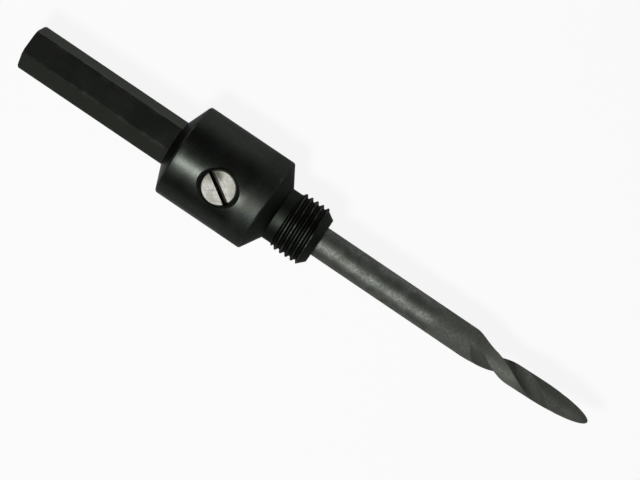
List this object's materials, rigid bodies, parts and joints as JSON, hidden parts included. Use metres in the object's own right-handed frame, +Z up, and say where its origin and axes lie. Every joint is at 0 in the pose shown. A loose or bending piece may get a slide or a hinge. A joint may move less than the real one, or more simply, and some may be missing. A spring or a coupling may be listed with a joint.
{
  "type": "hole saw arbor",
  "caption": "Hole saw arbor with a hex shank, a round collar, a threaded nose, and a pilot drill clamped by a slotted set screw.",
  "frame": {"origin": "on the tool's axis, where the nose thread begins", "axes": "+X along the tool's axis towards the drill's point; +Z up, along the set screw, with the arbor lying on its collar and its heavier side down"},
  "size_m": [0.1319, 0.02, 0.02],
  "materials": {
    "black_oxide_steel": "satin black oxide, slightly oily, worn lighter on the edges",
    "tool_steel": "dull ground high-speed steel, mottled grey",
    "plated_steel": "bright plated, scratched"
  },
  "bodies": {
    "arbor": {"arbor_body": "black_oxide_steel"},
    "pilot": {"pilot_drill": "tool_steel"},
    "screw": {"set_screw": "plated_steel"}
  },
  "joints": [
    {"name": "pilot_slide", "type": "slide", "parent": "arbor", "child": "pilot", "axis": [1, 0, 0], "range_m": [0, 0.032]},
    {"name": "screw_travel", "type": "slide", "parent": "arbor", "child": "screw", "axis": [0, 0, 1], "range_m": [0, 0.007]}
  ]
}
